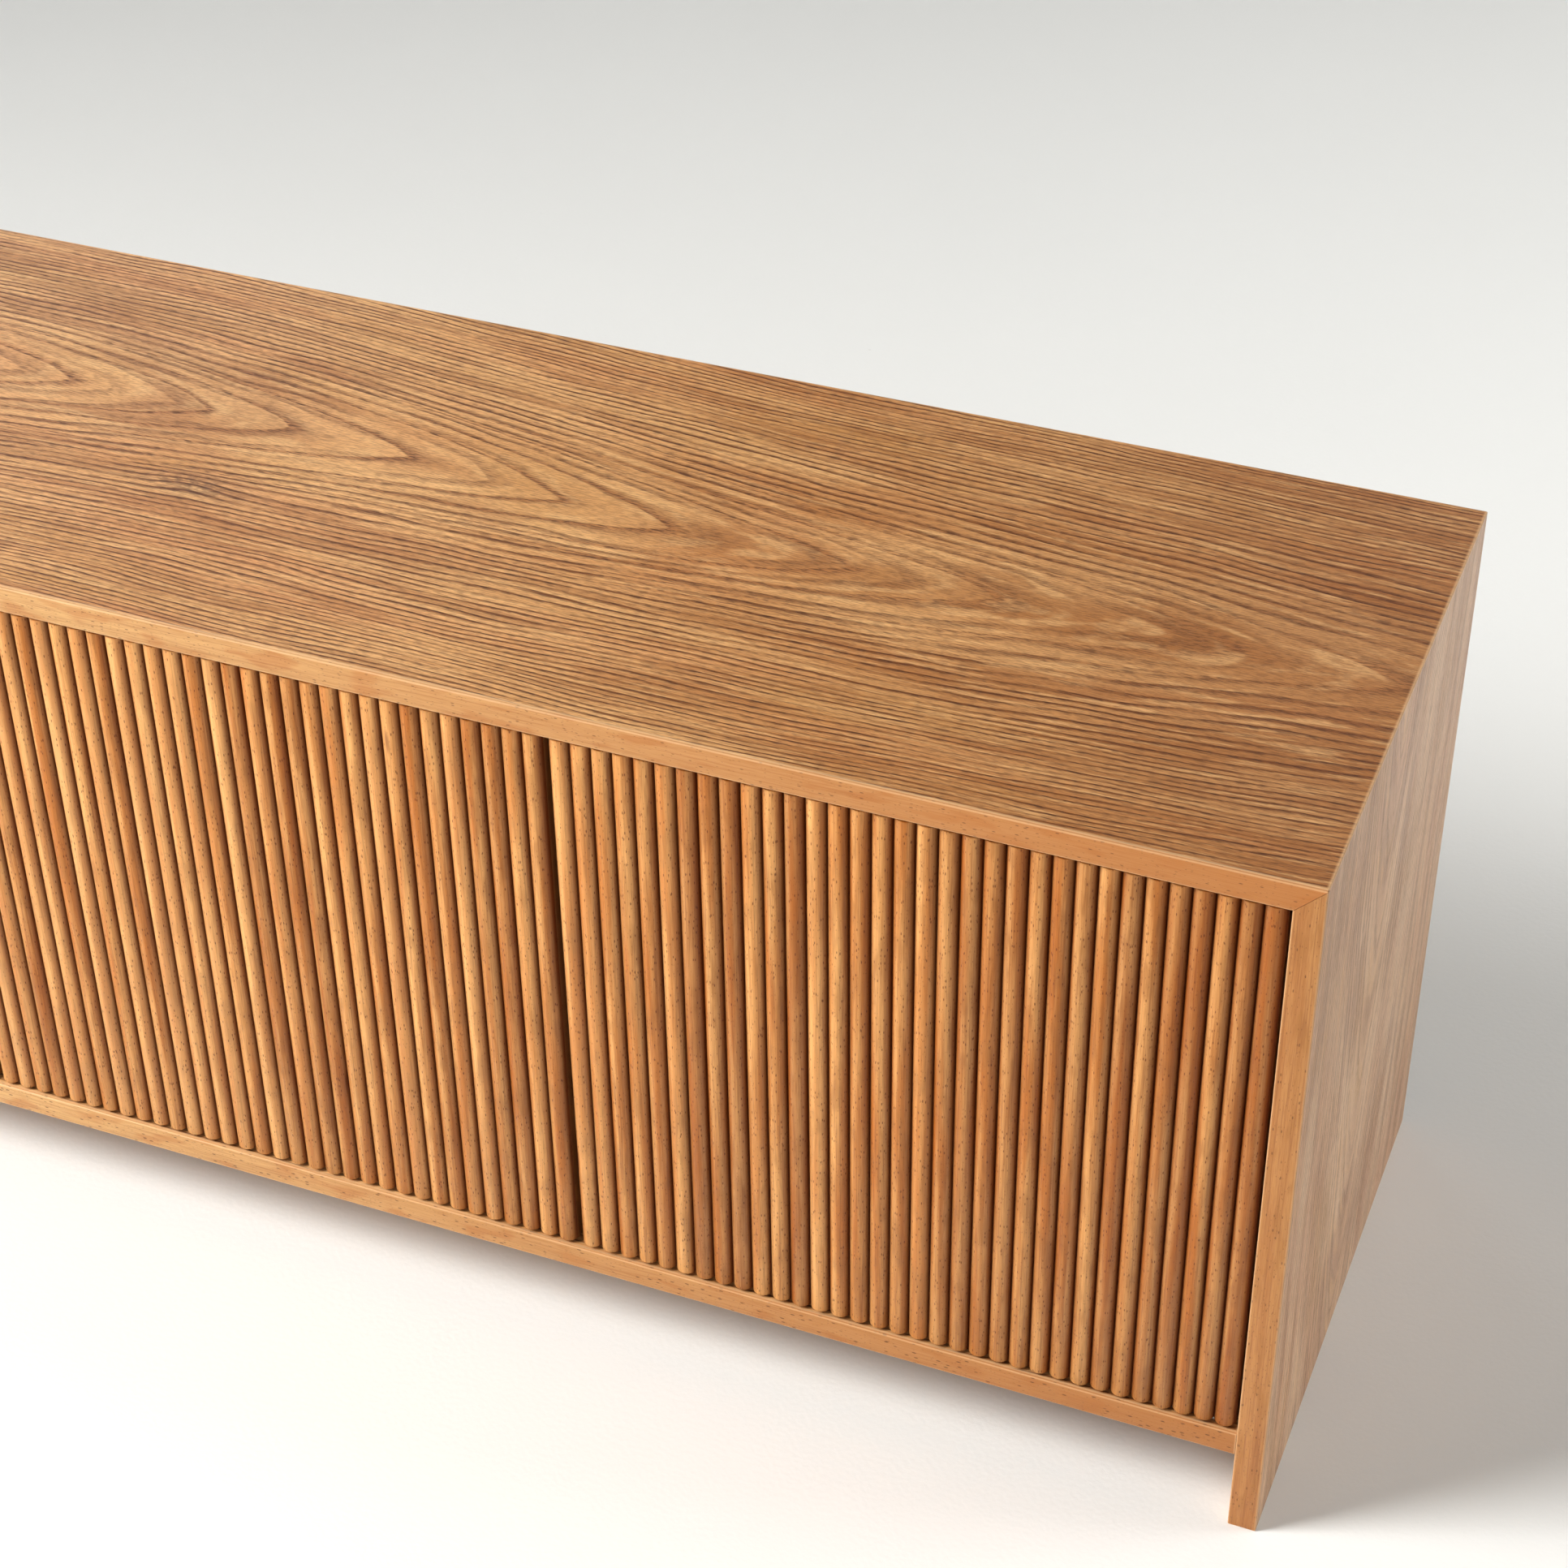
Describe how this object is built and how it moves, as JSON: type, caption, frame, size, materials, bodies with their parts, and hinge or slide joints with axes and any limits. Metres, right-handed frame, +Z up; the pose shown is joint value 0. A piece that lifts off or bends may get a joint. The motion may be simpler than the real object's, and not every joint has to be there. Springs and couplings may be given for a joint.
{
  "type": "media cabinet",
  "caption": "Low media cabinet with mitred waterfall ends, slab feet and handle-less inset doors faced with vertical half-round slats.",
  "frame": {"origin": "centre of the footprint on the floor", "axes": "+X to the right seen from the front, +Y to the back, +Z up"},
  "size_m": [1.8, 0.4, 0.512],
  "materials": {
    "oak_veneer": "flat-cut oak veneer, satin lacquer",
    "beech_edging": "solid beech edging, satin lacquer",
    "beech_slats": "half-round beech slats, satin lacquer",
    "door_board": "oak veneer on board, satin lacquer",
    "door_band": "thin beech band, satin lacquer",
    "back_plywood": "veneered plywood, matt",
    "plain_beech": "solid beech, matt",
    "zinc_steel": "bright zinc plate",
    "nickel_steel": "satin nickel plate",
    "strike_steel": "plain pressed steel",
    "nylon": "natural nylon",
    "latch_shell": "moulded light grey plastic",
    "latch_plunger": "moulded dark grey plastic",
    "grommet_black": "moulded black plastic",
    "glide_black": "moulded black plastic"
  },
  "bodies": {
    "carcass": {"back_panel_screws": "zinc_steel", "bottom_front_edging": "beech_edging", "bottom_panel": "oak_veneer", "carcass_dowels": "plain_beech", "centre_leg": "plain_beech", "centre_leg_glide": "glide_black", "centre_leg_plate": "nickel_steel", "centre_leg_screws": "zinc_steel", "centre_partition": "oak_veneer", "latch_1_housing": "latch_shell", "latch_2_housing": "latch_shell", "latch_3_housing": "latch_shell", "latch_4_housing": "latch_shell", "latch_screws": "zinc_steel", "left_back_panel": "back_plywood", "left_cable_grommet": "grommet_black", "left_front_edging": "beech_edging", "left_shelf": "oak_veneer", "left_shelf_edging": "beech_edging", "left_side_panel": "oak_veneer", "lower_pivot_plates": "nickel_steel", "mitre_splines": "plain_beech", "partition_front_edging": "beech_edging", "pivot_plate_screws": "zinc_steel", "right_back_panel": "back_plywood", "right_cable_grommet": "grommet_black", "right_front_edging": "beech_edging", "right_shelf": "oak_veneer", "right_shelf_edging": "beech_edging", "right_side_panel": "oak_veneer", "shelf_supports": "nickel_steel", "thrust_washers": "nylon", "top_front_edging": "beech_edging", "top_panel": "oak_veneer", "upper_pivot_plates": "nickel_steel"},
    "door_1": {"door_1_board": "door_board", "door_1_edge_bands": "door_band", "door_1_pivot_bushes": "nylon", "door_1_slats": "beech_slats", "door_1_strike_plate": "strike_steel"},
    "plunger_1": {"latch_1_plunger": "latch_plunger"},
    "door_2": {"door_2_board": "door_board", "door_2_edge_bands": "door_band", "door_2_pivot_bushes": "nylon", "door_2_slats": "beech_slats", "door_2_strike_plate": "strike_steel"},
    "plunger_2": {"latch_2_plunger": "latch_plunger"},
    "door_3": {"door_3_board": "door_board", "door_3_edge_bands": "door_band", "door_3_pivot_bushes": "nylon", "door_3_slats": "beech_slats", "door_3_strike_plate": "strike_steel"},
    "plunger_3": {"latch_3_plunger": "latch_plunger"},
    "door_4": {"door_4_board": "door_board", "door_4_edge_bands": "door_band", "door_4_pivot_bushes": "nylon", "door_4_slats": "beech_slats", "door_4_strike_plate": "strike_steel"},
    "plunger_4": {"latch_4_plunger": "latch_plunger"}
  },
  "joints": [
    {"name": "door_1_pivot", "type": "hinge", "parent": "carcass", "child": "door_1", "pos_m": [-0.866, -0.1867, 0.288], "axis": [0, 0, -1], "range_deg": [0, 90]},
    {"name": "latch_1_slide", "type": "slide", "parent": "carcass", "child": "plunger_1", "axis": [0, -1, 0], "range_m": [0, 0.02]},
    {"name": "door_2_pivot", "type": "hinge", "parent": "carcass", "child": "door_2", "pos_m": [-0.015, -0.1867, 0.288], "axis": [0, 0, 1], "range_deg": [0, 90]},
    {"name": "latch_2_slide", "type": "slide", "parent": "carcass", "child": "plunger_2", "axis": [0, -1, 0], "range_m": [0, 0.02]},
    {"name": "door_3_pivot", "type": "hinge", "parent": "carcass", "child": "door_3", "pos_m": [0.015, -0.1867, 0.288], "axis": [0, 0, -1], "range_deg": [0, 90]},
    {"name": "latch_3_slide", "type": "slide", "parent": "carcass", "child": "plunger_3", "axis": [0, -1, 0], "range_m": [0, 0.02]},
    {"name": "door_4_pivot", "type": "hinge", "parent": "carcass", "child": "door_4", "pos_m": [0.866, -0.1867, 0.288], "axis": [0, 0, 1], "range_deg": [0, 90]},
    {"name": "latch_4_slide", "type": "slide", "parent": "carcass", "child": "plunger_4", "axis": [0, -1, 0], "range_m": [0, 0.02]}
  ],
  "couplings": [
    {"joint": "latch_1_slide", "follows": "door_1_pivot", "m_per_rad": 0.0127},
    {"joint": "latch_2_slide", "follows": "door_2_pivot", "m_per_rad": 0.0127},
    {"joint": "latch_3_slide", "follows": "door_3_pivot", "m_per_rad": 0.0127},
    {"joint": "latch_4_slide", "follows": "door_4_pivot", "m_per_rad": 0.0127}
  ]
}
